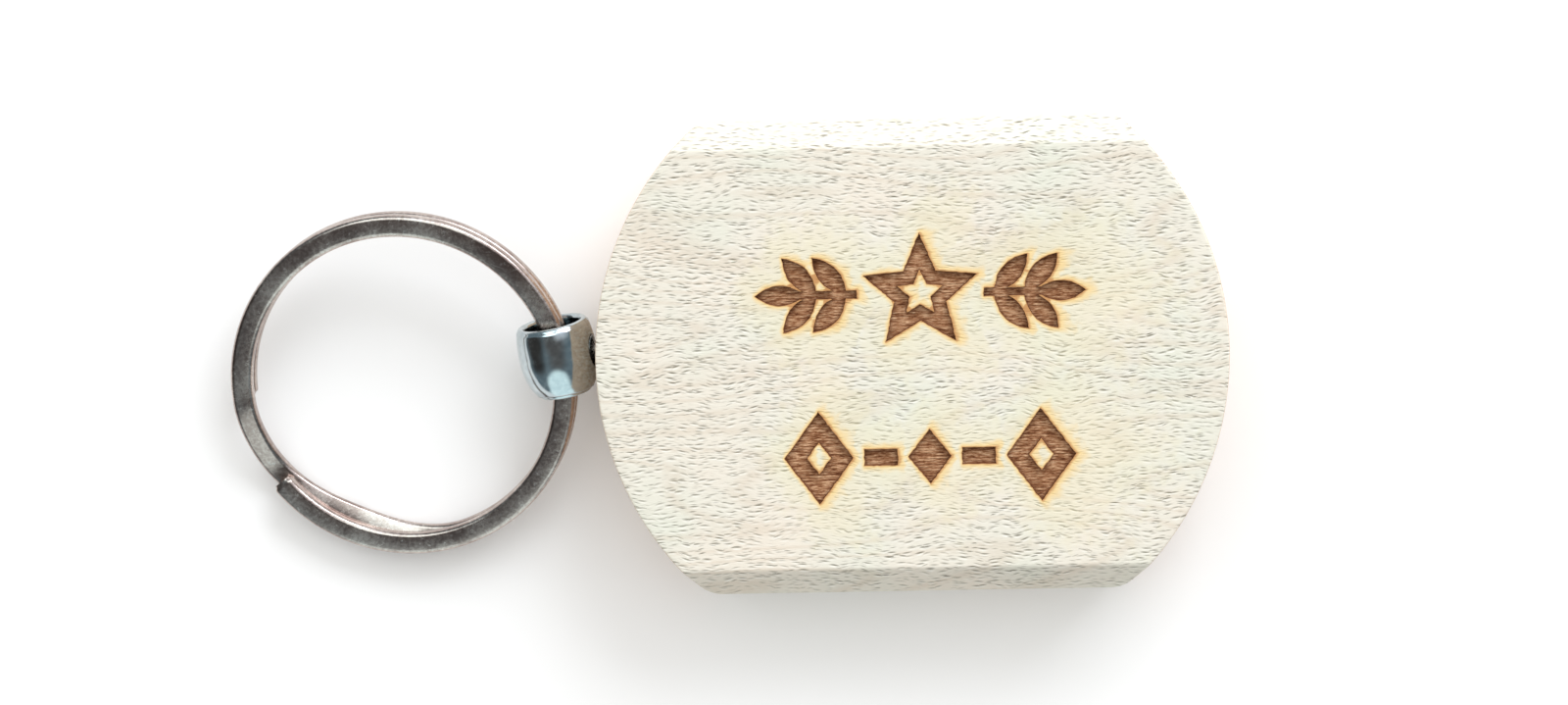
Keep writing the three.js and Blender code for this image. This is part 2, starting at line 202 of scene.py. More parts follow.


# %% [markdown]
# Hardwood. The blank is a pale, close-grained timber such as beech or maple, sanded and left bare.
# What the eye sees is a cream ground, slow drifts of colour, faint growth lines that slope across the
# face, and thousands of short ray flecks about a millimetre long, all lying along the grain. Sanding
# leaves each fleck a little hollow, and a pale painted highlight stands for the light that catches its
# lower lip. The pattern is a solid one, in millimetres. On the round ends the fibres are cut across, so
# the wood there is browner and stippled, and it is also darkened there as painted shade.

# %% Hardwood
# Each kind of stroke is its cell and its half size in millimetres, its slope and its faintest.
RAY_FLECKS = ((0.9, 0.4, 1.5), (0.62, 0.1, 0.95), 0.14, 0.55)
FINE_FLECKS = ((0.7, 0.34, 1.2), (0.45, 0.07, 0.7), 0.2, 0.0)
PORES = ((8.0, 5.0, 5.0), (0.3, 0.1, 3.0), 0.2, 0.0)
LIP_HIGHLIGHT_DROP = 0.13
LONG_EDGE_DEPTH = 0.4

# Distances from the burnt edge in millimetres, full and gone, then strength and colour.
SCORCH = [
    (0.4, 4.5, 0.4, "#e6dcb4"),
    (0.05, 0.62, 0.8, "#f0cd86"),
    (0.0, 0.15, 0.8, "#b97a45"),
]


def hardwood():
    made, tree, mm = start_material("sanded pale hardwood")

    # The grain wanders, so the flecks are read from gently bent coordinates.
    bend = add(tree, "ShaderNodeTexNoise", {"Vector": mm, "Scale": 0.2}).outputs["Color"]
    bend = add(tree, "ShaderNodeVectorMath", {0: bend, 1: (0.5,) * 3}, operation="SUBTRACT")
    bent = {0: bend, 1: (0.0, 1.6, 1.6), 2: mm}
    bent = add(tree, "ShaderNodeVectorMath", bent, operation="MULTIPLY_ADD")

    drift = add(tree, "ShaderNodeTexNoise", {"Vector": mm, "Scale": 0.12, "Detail": 3.0})
    drift_stops = [(0.32, "#e3e3d4"), (0.5, "#e7e2d4"), (0.68, "#ebe2d3")]
    ground = add(tree, "ShaderNodeValToRGB", {0: drift}, stops=drift_stops)

    # Growth lines are the contours of a slow noise, tilted and stretched along the grain.
    tilted = {"Vector": mm, "Rotation": (0, 0, math.radians(-11)), "Scale": (0.018, 0.1, 0.06)}
    tilted = add(tree, "ShaderNodeMapping", tilted)
    growth = add(tree, "ShaderNodeTexNoise", {"Vector": tilted, "Scale": 1.0, "Detail": 1.0})
    growth = add(tree, "ShaderNodeMath", {0: growth, 1: 16.0}, operation="MULTIPLY")
    growth = add(tree, "ShaderNodeMath", {0: growth, 1: 0.5}, operation="PINGPONG")
    line = {"Value": growth, "From Min": 0.0, "From Max": 0.22, "To Min": 0.3, "To Max": 0.0}
    line = add(tree, "ShaderNodeMapRange", line)

    # Each fleck has a painted highlight on its lower lip, where light from above would catch it: the same
    # strokes, read a little higher up.
    higher = add(tree, "ShaderNodeVectorMath", {0: bent, 1: (0.0, LIP_HIGHLIGHT_DROP, 0.0)}, operation="ADD")
    lip_highlight = short_strokes(tree, higher, *RAY_FLECKS)
    fleck = short_strokes(tree, bent, *RAY_FLECKS)
    finer = short_strokes(tree, bent, *FINE_FLECKS)
    fleck = add(tree, "ShaderNodeMath", {0: fleck, 1: finer}, operation="MAXIMUM")
    strength = add(tree, "ShaderNodeTexNoise", {"Vector": mm, "Scale": 0.35})
    strength = {"Value": strength, "From Min": 0.3, "From Max": 0.7, "To Min": 0.7}
    strength = add(tree, "ShaderNodeMapRange", strength)
    fleck = add(tree, "ShaderNodeMath", {0: fleck, 1: strength}, operation="MULTIPLY")

    # The two long edges cut the rays lengthwise, so the flecks there are broad and pale.
    out = add(tree, "ShaderNodeSeparateXYZ", {0: mm}).outputs["Y"]
    out = add(tree, "ShaderNodeMath", {0: out}, operation="ABSOLUTE")
    flat = blank_high.y / MM
    pale = {"Value": out, "From Min": flat - LONG_EDGE_DEPTH, "From Max": flat, "To Min": 1.0}
    pale["To Max"] = 0.3
    pale = add(tree, "ShaderNodeMapRange", pale)
    fleck = add(tree, "ShaderNodeMath", {0: fleck, 1: pale}, operation="MULTIPLY")
    lip_highlight = add(tree, "ShaderNodeMath", {0: lip_highlight, 1: pale}, operation="MULTIPLY")
    pore = short_strokes(tree, bent, *PORES)

    # Over the ground lie the growth lines, then the painted highlights on the lips, the flecks and the
    # pores.
    grained = ground
    for amount, colour in [(line, "#cfbaa2"), (lip_highlight, "#f7f4ea"), (fleck, "#69634f"), (pore, "#5f5340")]:
        grained = {0: amount, MIX_A: grained, MIX_B: linear(colour)}
        grained = add(tree, "ShaderNodeMix", grained, data_type="RGBA")

    # End grain: open pores between the rays, under the colour of cut fibres. The same darker colour is
    # also painted shade, because these sides face away from the light.
    stipple = add(tree, "ShaderNodeVectorMath", {0: mm, 1: (4.5, 4.5, 2.2)}, operation="MULTIPLY")
    stipple = {"Vector": stipple, "Scale": 1.0, "Detail": 3.0, "Roughness": 0.7}
    stipple = add(tree, "ShaderNodeTexNoise", stipple)
    cut_end_and_shade_stops = [(0.34, "#c6a387"), (0.5, "#dcbfa4"), (0.64, "#e9d4bd")]
    cut_end_and_shade_colour = add(tree, "ShaderNodeValToRGB", {0: stipple}, stops=cut_end_and_shade_stops)
    cut_end_and_shade_mask = add(tree, "ShaderNodeAttribute", attribute_name="cut_end_and_side_shade").outputs["Fac"]
    burnt = {0: cut_end_and_shade_mask, MIX_A: grained, MIX_B: cut_end_and_shade_colour}
    burnt = add(tree, "ShaderNodeMix", burnt, data_type="RGBA")

    # Scorch, from far to near: a faint yellow haze of smoke, then straw, then an amber lip.
    smoke = add(tree, "ShaderNodeAttribute", attribute_name="smoke_mm").outputs["Fac"]
    uneven = add(tree, "ShaderNodeTexNoise", {"Vector": mm, "Scale": 0.9})
    uneven = {"Value": uneven, "From Min": 0.25, "From Max": 0.75, "To Min": 0.55, "To Max": 1.45}
    uneven = add(tree, "ShaderNodeMapRange", uneven)
    smoke = add(tree, "ShaderNodeMath", {0: smoke, 1: uneven}, operation="MULTIPLY")
    for start, end, strongest, colour in SCORCH:
        amount = {"Value": smoke, "From Min": start, "From Max": end, "To Min": strongest, "To Max": 0.0}
        amount = add(tree, "ShaderNodeMapRange", amount, interpolation_type="SMOOTHSTEP")
        burnt = {0: amount, MIX_A: burnt, MIX_B: linear(colour)}
        burnt = add(tree, "ShaderNodeMix", burnt, data_type="RGBA")

    fibres = add(tree, "ShaderNodeVectorMath", {0: bent, 1: (0.8, 9.0, 9.0)}, operation="MULTIPLY")
    fibres = add(tree, "ShaderNodeTexNoise", {"Vector": fibres, "Scale": 1.0})
    relief = add(tree, "ShaderNodeMath", {0: fleck, 1: -2.0, 2: fibres}, operation="MULTIPLY_ADD")
    bump = {"Height": relief, "Distance": 0.03 * MM, "Strength": 0.7}
    bump = add(tree, "ShaderNodeBump", bump)
    looks = {"Base Color": burnt, "Normal": bump, "Roughness": 0.6, "IOR": 1.45}
    looks["Specular IOR Level"] = 0.3
    finish_material(tree, looks)
    return made


wood = hardwood()
print("hardwood:", len(wood.node_tree.nodes), "nodes")

# %% [markdown]
# Burnt hardwood. The laser crosses the engraving in fine level passes, so its floor is streaked along
# them: dark where the beam lingered and tan where hard fibres stood up to it. The walls are charred.
# The streaks are drawn a little coarser than real passes, so that they show.

# %% Burnt hardwood
RASTER_PITCH = 0.24
ENGRAVING_DEPTH = 0.5


def burnt_hardwood():
    made, tree, mm = start_material("laser burnt hardwood")
    streaks = add(tree, "ShaderNodeVectorMath", {0: mm, 1: (1.3, 8.0, 3.0)}, operation="MULTIPLY")
    streaks = {"Vector": streaks, "Scale": 1.0, "Detail": 3.0, "Roughness": 0.7}
    streaks = add(tree, "ShaderNodeTexNoise", streaks)
    floor_stops = [(0.34, "#5a2f18"), (0.44, "#8f5e3d"), (0.54, "#b98a66"), (0.68, "#eac39c")]
    brown = add(tree, "ShaderNodeValToRGB", {0: streaks}, stops=floor_stops)

    axes = add(tree, "ShaderNodeSeparateXYZ", {0: mm})
    phase = {0: axes.outputs["Y"], 1: 2 * math.pi / RASTER_PITCH}
    phase = add(tree, "ShaderNodeMath", phase, operation="MULTIPLY")
    wave = add(tree, "ShaderNodeMath", {0: phase}, operation="SINE")
    groove = {"Value": wave, "From Min": -0.2, "From Max": 1.0, "To Max": 0.5}
    groove = add(tree, "ShaderNodeMapRange", groove)
    broken = add(tree, "ShaderNodeVectorMath", {0: mm, 1: (0.7, 2.0, 1.0)}, operation="MULTIPLY")
    broken = add(tree, "ShaderNodeTexNoise", {"Vector": broken, "Scale": 1.0})
    broken = add(tree, "ShaderNodeMapRange", {"Value": broken, "From Min": 0.35, "From Max": 0.65})
    groove = add(tree, "ShaderNodeMath", {0: groove, 1: broken}, operation="MULTIPLY")

    # Soot gathers along the edges of the floor and covers the walls.
    edge = add(tree, "ShaderNodeAttribute", attribute_name="edge_mm").outputs["Fac"]
    soot = {"Value": edge, "From Min": 0.5, "From Max": 0.8, "To Min": 0.5, "To Max": 0.0}
    soot = add(tree, "ShaderNodeMapRange", soot, interpolation_type="SMOOTHSTEP")
    floor_level = blank_thickness / MM - ENGRAVING_DEPTH
    wall = {"Value": axes.outputs["Z"], "From Min": floor_level, "From Max": floor_level + 0.1}
    wall["To Max"] = 0.85
    wall = add(tree, "ShaderNodeMapRange", wall)
    charred = brown
    for amount, colour in [(groove, "#56301a"), (soot, "#683c22"), (wall, "#6b3d21")]:
        charred = {0: amount, MIX_A: charred, MIX_B: linear(colour)}
        charred = add(tree, "ShaderNodeMix", charred, data_type="RGBA")

    relief = add(tree, "ShaderNodeMath", {0: streaks, 1: groove}, operation="SUBTRACT")
    bump = {"Height": relief, "Distance": 0.1 * MM, "Strength": 0.7}
    bump = add(tree, "ShaderNodeBump", bump)
    looks = {"Base Color": charred, "Normal": bump, "Roughness": 0.85}
    looks["Specular IOR Level"] = 0.2
    finish_material(tree, looks)
    return made


char = burnt_hardwood()
print("burnt hardwood:", len(char.node_tree.nodes), "nodes")

# %% [markdown]
# Nickel plate. The barrel is bright nickel, smooth but not optically flat, so its reflections waver.
# The ring and the pin are the same plating on tumbled spring steel: keys have covered it with fine
# scratches and pits, which spread its highlights and leave it a darker, warmer grey.


# %% Nickel plate
def bright_nickel():
    made, tree, mm = start_material("bright nickel plate")
    mottle = add(tree, "ShaderNodeTexNoise", {"Vector": mm, "Scale": 1.6, "Detail": 3.0})
    tone = add(tree, "ShaderNodeValToRGB", {0: mottle}, stops=[(0.35, "#b7c1c5"), (0.65, "#c8d1d3")])
    rough = {"Value": mottle, "From Min": 0.3, "From Max": 0.7, "To Min": 0.1, "To Max": 0.18}
    rough = add(tree, "ShaderNodeMapRange", rough)
    waver = add(tree, "ShaderNodeTexNoise", {"Vector": mm, "Scale": 0.5, "Detail": 1.0})
    bump = add(tree, "ShaderNodeBump", {"Height": waver, "Distance": 0.3 * MM, "Strength": 0.15})
    finish_material(tree, {"Base Color": tone, "Roughness": rough, "Normal": bump, "Metallic": 1.0})
    return made


SCRATCHES = ((2.6, 1.4, 2.0), (1.1, 0.03, 1.5), 0.8, 0.0)


def worn_nickel():
    made, tree, mm = start_material("worn nickel plate")
    grain = {"Vector": mm, "Scale": 3.0, "Detail": 4.0, "Roughness": 0.65}
    grain = add(tree, "ShaderNodeTexNoise", grain)
    patches = add(tree, "ShaderNodeTexNoise", {"Vector": mm, "Scale": 0.3})
    both = add(tree, "ShaderNodeMath", {0: grain, 1: patches}, operation="ADD")
    both = add(tree, "ShaderNodeMath", {0: both, 1: 0.5}, operation="MULTIPLY")
    tone_stops = [(0.4, "#9f8e87"), (0.52, "#bcada5"), (0.66, "#d8ccc4")]
    tone = add(tree, "ShaderNodeValToRGB", {0: both}, stops=tone_stops)
    pits = {"Vector": mm, "Scale": 2.0, "Detail": 3.0, "Roughness": 0.7}
    pits = add(tree, "ShaderNodeTexNoise", pits)
    pits = {"Value": pits, "From Min": 0.6, "From Max": 0.8, "To Max": 0.6}
    pits = add(tree, "ShaderNodeMapRange", pits)
    scratch = short_strokes(tree, mm, *SCRATCHES)
    scratch = add(tree, "ShaderNodeMath", {0: scratch, 1: 0.4}, operation="MULTIPLY")
    marks = add(tree, "ShaderNodeMath", {0: pits, 1: scratch}, operation="MAXIMUM")
    marked = {0: marks, MIX_A: tone, MIX_B: linear("#e4e1dd")}
    marked = add(tree, "ShaderNodeMix", marked, data_type="RGBA")
    rough = {"Value": both, "From Min": 0.4, "From Max": 0.62, "To Min": 0.18, "To Max": 0.28}
    rough = add(tree, "ShaderNodeMapRange", rough)
    rough = add(tree, "ShaderNodeMath", {0: marks, 1: 0.15, 2: rough}, operation="MULTIPLY_ADD")
    relief = add(tree, "ShaderNodeMath", {0: grain, 1: marks}, operation="SUBTRACT")
    bump = add(tree, "ShaderNodeBump", {"Height": relief, "Distance": 0.03 * MM, "Strength": 0.25})
    finish_material(tree, {"Base Color": marked, "Roughness": rough, "Normal": bump, "Metallic": 1.0})
    return made


nickel = bright_nickel()
worn = worn_nickel()
print("finishes:", [finish.name for finish in bpy.data.materials])

# %% [markdown]
# The blank is a disc of wood cut by two flats, with a 45 degree bevel planed along both flats in
# front. The outline is swept up from the back to the front, the two bevel planes slice it, and every
# arris is then broken by a fifth of a millimetre, as a few strokes of sandpaper leave it.

# %% Blank sizes, in millimetres
BEVEL = 2.25
CORNER_RADIUS = 2.5
ARRIS, ARRIS_STEPS = 0.2, 4
ARRIS_ANGLE = math.radians(20)
SAME_POINT = 1e-4
ARC_STEP = math.radians(1.0)
CORNER_STEPS = 8
blank_radius = blank_width / MM / 2
half_height = blank_height / MM / 2
thickness = blank_thickness / MM


def arc(x, y, radius, start, end, steps):
    angles = np.linspace(start, end, steps + 1)
    return np.stack([x + radius * np.cos(angles), y + radius * np.sin(angles)], 1)


def blank_outline():
    corner_y = half_height - CORNER_RADIUS
    corner_x = math.sqrt((blank_radius - CORNER_RADIUS) ** 2 - corner_y**2)
    turn = math.atan2(corner_y, corner_x)
    steps = round(2 * turn / ARC_STEP)
    quarter = math.pi / 2
    right = arc(0, 0, blank_radius, -turn, turn, steps)
    corner = arc(corner_x, corner_y, CORNER_RADIUS, turn, quarter, CORNER_STEPS)
    half = np.concatenate([right, corner[1:]])
    corner = corner[::-1] * (1, -1)
    half = np.concatenate([corner[:-1], half])
    return np.concatenate([half, -half])


def blank_block():
    """The sawn block with its bevels, as a bmesh in millimetres, before the arrises are broken."""
    bm = bmesh.new()
    outline = blank_outline()
    back = [bm.verts.new((x, y, 0)) for x, y in outline]
    front = [bm.verts.new((x, y, thickness)) for x, y in outline]
    bm.faces.new(back[::-1])
    bm.faces.new(front)
    for i in range(len(outline)):
        j = (i + 1) % len(outline)
        bm.faces.new((back[i], back[j], front[j], front[i]))
    for side in (-1, 1):
        on_bevel = (0, side * half_height, thickness - BEVEL)
        slope = (0, side, 1)
        everything = bm.verts[:] + bm.edges[:] + bm.faces[:]
        cut = bmesh.ops.bisect_plane(
            bm, geom=everything, plane_co=on_bevel, plane_no=slope, clear_outer=True, dist=SAME_POINT
        )
        edges = [part for part in cut["geom_cut"] if isinstance(part, bmesh.types.BMEdge)]
        bmesh.ops.edgeloop_fill(bm, edges=edges)
    bmesh.ops.recalc_face_normals(bm, faces=bm.faces[:])
    return bm


def break_arrises(bm):
    sharp = [e for e in bm.edges if len(e.link_faces) == 2 and e.calc_face_angle() > ARRIS_ANGLE]
    bmesh.ops.bevel(bm, geom=sharp, offset=ARRIS, segments=ARRIS_STEPS, profile=0.5, affect="EDGES")


block = blank_block()
break_arrises(block)
print("sawn block:", len(block.verts), "points,", len(block.faces), "faces")

# %% [markdown]
# The engraving is burnt in by a laser, so its walls are upright and its floor is flat. The ornament
# is a star between two laurel sprigs over a row of lozenges and dashes. Each shape is an outline in
# millimetres. Shapes may overlap, because what counts is only whether a point lies inside one.

# %% Engraving outlines
AWARD_ROW = (0.85, 5.4)
STAR_RADIUS, STAR_WAIST, STAR_ISLAND = 5.0, 0.46, 0.4
LEAF_LENGTH, LEAF_WIDTH = 4.2, 1.7
LEAF_SPREAD = math.radians(48)
LEAF_PAIRS, LEAF_SPACING, FIRST_LEAF = 2, 2.5, 0.35
STEM_WIDTH, SPRIG_GAP = 0.7, 0.3
LOZENGE_ROW = (1.4, -8.3)
LOZENGE_WIDTH, LOZENGE_HEIGHT, LOZENGE_STROKE = 5.8, 7.8, 1.9
CENTRE_LOZENGE = (3.6, 4.6)
DASH = (2.8, 1.4)
LOZENGE_GAP = 0.9
LEAF_POINTS = 14


def star(x, y, radius):
    angles = math.pi / 2 + np.arange(10) * math.pi / 5
    reach = np.where(np.arange(10) % 2 == 0, radius, radius * STAR_WAIST)
    return np.stack([x + reach * np.cos(angles), y + reach * np.sin(angles)], 1)


def leaf(x, y, direction):
    t = np.linspace(0, 1, LEAF_POINTS + 1)
    along = LEAF_LENGTH * t
    across = 2 * t * (1 - t) * LEAF_WIDTH
    upper = np.stack([along, across], 1)
    lower = np.stack([along[1:-1], -across[1:-1]], 1)[::-1]
    outline = np.concatenate([upper, lower])
    c, s = math.cos(direction), math.sin(direction)
    return outline @ np.array([[c, s], [-s, c]]) + (x, y)


def bar(x, y, length, height):
    corners = np.array([(-1, -1), (1, -1), (1, 1), (-1, 1)]) / 2
    return corners * (length, height) + (x, y)


def lozenge(x, y, width, height):
    return np.array([(-1, 0), (0, -1), (1, 0), (0, 1)]) / 2 * (width, height) + (x, y)


def sprig(side):
    x0, y0 = AWARD_ROW
    stem = LEAF_PAIRS * LEAF_SPACING
    base = x0 + side * (STAR_RADIUS + SPRIG_GAP)
    forward = 0 if side > 0 else math.pi
    shapes = [bar(base + side * stem / 2, y0, stem, STEM_WIDTH)]
    for pair in range(LEAF_PAIRS):
        x = base + side * (pair + FIRST_LEAF) * LEAF_SPACING
        shapes += [leaf(x, y0, forward + turn) for turn in (LEAF_SPREAD, -LEAF_SPREAD)]
    return shapes + [leaf(base + side * (stem - STEM_WIDTH), y0, forward)]


def lozenge_row():
    """The burnt shapes of the lower row, and the islands left standing in its open lozenges."""
    x, y = LOZENGE_ROW
    dash_x = CENTRE_LOZENGE[0] / 2 + LOZENGE_GAP + DASH[0] / 2
    end_x = dash_x + DASH[0] / 2 + LOZENGE_GAP + LOZENGE_WIDTH / 2
    left_in = 1 - 2 * LOZENGE_STROKE / LOZENGE_WIDTH
    burnt, standing = [lozenge(x, y, *CENTRE_LOZENGE)], []
    for side in (-1, 1):
        burnt.append(bar(x + side * dash_x, y, *DASH))
        burnt.append(lozenge(x + side * end_x, y, LOZENGE_WIDTH, LOZENGE_HEIGHT))
        inner = (LOZENGE_WIDTH * left_in, LOZENGE_HEIGHT * left_in)
        standing.append(lozenge(x + side * end_x, y, *inner))
    return burnt, standing


lower_burnt, lower_standing = lozenge_row()
burnt_shapes = [star(*AWARD_ROW, STAR_RADIUS), *sprig(-1), *sprig(1), *lower_burnt]
standing_shapes = [star(*AWARD_ROW, STAR_RADIUS * STAR_ISLAND), *lower_standing]

# The beam starts and stops a little early or late on each pass, so the edges are ragged.
EDGE_SPACING = 0.25
RAGGED, RAGGED_SEED = (0.04, 0.02), 7
chance = np.random.default_rng(RAGGED_SEED)


def subdivided(outline, spacing):
    pieces = []
    for a, b in zip(outline, np.roll(outline, -1, 0)):
        count = max(1, round(np.linalg.norm(b - a) / spacing))
        pieces += [a + (b - a) * i / count for i in range(count)]
    return np.array(pieces)


def ragged(outline):
    points = subdivided(outline, EDGE_SPACING)
    return points + chance.uniform(-1, 1, points.shape) * RAGGED


burnt_shapes = [ragged(shape) for shape in burnt_shapes]
standing_shapes = [ragged(shape) for shape in standing_shapes]
print("engraving:", len(burnt_shapes), "burnt shapes,", len(standing_shapes), "islands")

# %% [markdown]
# The front face is meshed afresh. A triangulation runs through the face's rim, all the outlines and a
# scatter of points that is fine round the ornament and coarse elsewhere, so that each vertex near the
# engraving can hold how far it is from the burnt edge. Triangles inside the ornament then drop to the
# engraving's floor, and a wall joins each burnt edge to the floor below it.

# %% Meshing the engraved face
FINE_SPACING, COARSE_SPACING = 0.3, 1.3
CLEAR_OF_OUTLINE = 0.45 * FINE_SPACING
HALO_REACH = 2.6
WALL_SLOPE = 0.05
DELAUNAY_HAIR = 1e-5


def inside(points, outline):
    """Which points lie inside a closed outline, by counting crossings of a ray."""
    hit = np.zeros(len(points), bool)
    x, y = points[:, 0], points[:, 1]
    for (x1, y1), (x2, y2) in zip(outline, np.roll(outline, -1, 0)):
        crosses = (y1 > y) != (y2 > y)
        if y1 != y2:
            hit ^= crosses & (x < (x2 - x1) * (y - y1) / (y2 - y1) + x1)
    return hit


def burnt_at(points):
    burnt = np.any([inside(points, shape) for shape in burnt_shapes], 0)
    return burnt & ~np.any([inside(points, shape) for shape in standing_shapes], 0)


def nearest(points, starts, ends):
    """Distance from each point to the nearest of many segments, and the offset from it."""
    best = np.full(len(points), 1e9)
    offset = np.zeros((len(points), 2))
    for a, b in zip(starts, ends):
        along = b - a
        share = np.clip((points - a) @ along / (along @ along), 0, 1)
        away = points - (a + share[:, None] * along)
        distance = np.hypot(away[:, 0], away[:, 1])
        closer = distance < best
        best[closer] = distance[closer]
        offset[closer] = away[closer]
    return best, offset


def scatter(spacing, width, height):
    """Points of a triangular grid centred on the face."""
    rows = np.arange(-height / 2, height / 2, spacing * math.sqrt(3) / 2)
    columns = np.arange(-width / 2, width / 2, spacing)
    grid = [(x + (i % 2) * spacing / 2, y) for i, y in enumerate(rows) for x in columns]
    return np.array(grid)


def face_points(rim):
    """Scattered points that stay clear of the rim and of the outlines."""
    outlines = burnt_shapes + standing_shapes
    starts = np.concatenate(outlines)
    ends = np.concatenate([np.roll(outline, -1, 0) for outline in outlines])
    fine = scatter(FINE_SPACING, blank_width / MM, blank_height / MM)
    distance, _ = nearest(fine, starts, ends)
    fine = fine[(distance < HALO_REACH) & (distance > CLEAR_OF_OUTLINE)]
    coarse = scatter(COARSE_SPACING, blank_width / MM, blank_height / MM)
    distance, _ = nearest(coarse, starts, ends)
    coarse = coarse[distance > HALO_REACH + COARSE_SPACING / 2]
    loose = np.concatenate([fine, coarse])
    rim_gap, _ = nearest(loose, rim, np.roll(rim, -1, 0))
    return outlines, loose[inside(loose, rim) & (rim_gap > FINE_SPACING)]


def triangulate(rim):
    outlines, loose = face_points(rim)
    points, edges = [], []
    for outline in [rim, *outlines]:
        first, count = len(points), len(outline)
        points += [Vector(p) for p in outline]
        edges += [(first + i, first + (i + 1) % count) for i in range(count)]
    points += [Vector(p) for p in loose]
    found = geometry.delaunay_2d_cdt(points, edges, [], 0, DELAUNAY_HAIR)
    corners = np.array([tuple(p) for p in found[0]])
    triangles = np.array([tuple(f) for f in found[2]])
    kept = inside(corners[triangles].mean(1), rim)
    return corners, triangles[kept]


def front_face_rim(bm):
    front = max(bm.faces, key=lambda f: f.calc_area() * f.normal.z)
    rim = np.array([(v.co.x, v.co.y) for v in front.verts])
    bm.faces.remove(front)
    return rim


rim = front_face_rim(block)
corners, triangles = triangulate(rim)
floor_triangle = burnt_at(corners[triangles].mean(1))
print("face:", len(corners), "points,", len(triangles), "triangles,", int(floor_triangle.sum()), "burnt")


# %% Raising the walls of the engraving
def burnt_edges():
    """Each edge between a burnt and an unburnt triangle, turned so that the burnt side is left."""
    owner = {}
    for burnt, triangle in zip(floor_triangle, triangles):
        for a, b in zip(triangle, np.roll(triangle, -1)):
            owner[(int(a), int(b))] = bool(burnt)
    return [(a, b) for (a, b), burnt in owner.items() if burnt and not owner.get((b, a), True)]


def engraved_face():
    """The front face, the engraving's floor and its walls, as points, faces and burnt flags."""
    edges = burnt_edges()
    inward = np.zeros((len(corners), 2))
    for a, b in edges:
        along = corners[b] - corners[a]
        left = np.array([-along[1], along[0]]) / np.linalg.norm(along)
        inward[a] += left
        inward[b] += left
    length = np.linalg.norm(inward, axis=1, keepdims=True)
    inward = np.divide(inward, length, out=np.zeros_like(inward), where=length > 0)
    count = len(corners)
    top = np.column_stack([corners, np.full(count, thickness)])
    sunk = corners + inward * WALL_SLOPE
    low = np.column_stack([sunk, np.full(count, thickness - ENGRAVING_DEPTH)])
    faces, burnt = [], []
    for is_floor, triangle in zip(floor_triangle, triangles):
        faces.append(tuple(int(i) + (count if is_floor else 0) for i in triangle))
        burnt.append(bool(is_floor))
    for a, b in edges:
        faces.append((b, a, a + count, b + count))
        burnt.append(True)
    return np.concatenate([top, low]), faces, burnt, edges


face_corners, face_faces, face_burnt, rim_edges = engraved_face()
print("engraving walls:", len(rim_edges))

# %% [markdown]
# The block and its engraved face are joined into one closed mesh. Two values are stored at each
# vertex for the materials: how far it is from the burnt edge, and the same distance as the smoke sees
# it, shorter on the side that the air jet blew towards.

# %% Joining the blank
SMOKE_LEAN = 0.6
BELOW_FACE = 1e-3
ARC_BAND = 0.05


def joined_blank(bm):
    made = [bm.verts.new(p) for p in face_corners]
    used = set()
    for corners_of, burnt in zip(face_faces, face_burnt):
        face = bm.faces.new([made[i] for i in corners_of])
        face.material_index = 1 if burnt else 0
        used.update(corners_of)
    for i, vertex in enumerate(made):
        if i not in used:
            bm.verts.remove(vertex)
    bmesh.ops.remove_doubles(bm, verts=bm.verts[:], dist=SAME_POINT)
    bmesh.ops.scale(bm, vec=(MM,) * 3, verts=bm.verts[:])
    mesh = bpy.data.meshes.new("wood_blank_finished")
    bm.to_mesh(mesh)
    bm.free()
    return mesh


def store_burn(mesh):
    points = np.array([v.co for v in mesh.vertices], float).reshape(-1, 3) / MM
    starts = np.array([corners[a] for a, _ in rim_edges])
    ends = np.array([corners[b] for _, b in rim_edges])
    distance, away = nearest(points[:, :2], starts, ends)
    deeper = points[:, 2] < thickness - BELOW_FACE
    distance = distance + np.where(deeper, thickness - points[:, 2], 0)
    towards = np.divide(away[:, 0], distance, out=np.zeros(len(distance)), where=distance > 1e-6)
    # The round ends are cut across the fibres, and they also carry painted shade. Their points lie at the
    # disc's full radius.
    on_arc = np.hypot(points[:, 0], points[:, 1]) > blank_radius - ARC_BAND
    stored = {
        "edge_mm": distance,
        "smoke_mm": distance * (1 - SMOKE_LEAN * towards),
        "cut_end_and_side_shade": on_arc.astype(float),
    }
    for name, values in stored.items():
        layer = mesh.attributes.new(name, "FLOAT", "POINT")
        layer.data.foreach_set("value", values.astype(np.float32))


blank_mesh = joined_blank(block)
blank_mesh.materials.append(wood)
blank_mesh.materials.append(char)
blank = new_object("engraved_blank", blank_mesh)
print("blank:", len(blank_mesh.vertices), "points,", len(blank_mesh.polygons), "faces")

# %% [markdown]
# The pin's hole is drilled next: a pilot hole for the barbs and a wider seat for the shoulder. A
# turned shape is the easiest cutter, so the function that turns a profile about an axis comes here.
# It also makes the pin and the barrel.

# %% Turning a profile
TURNING_STEPS = 48


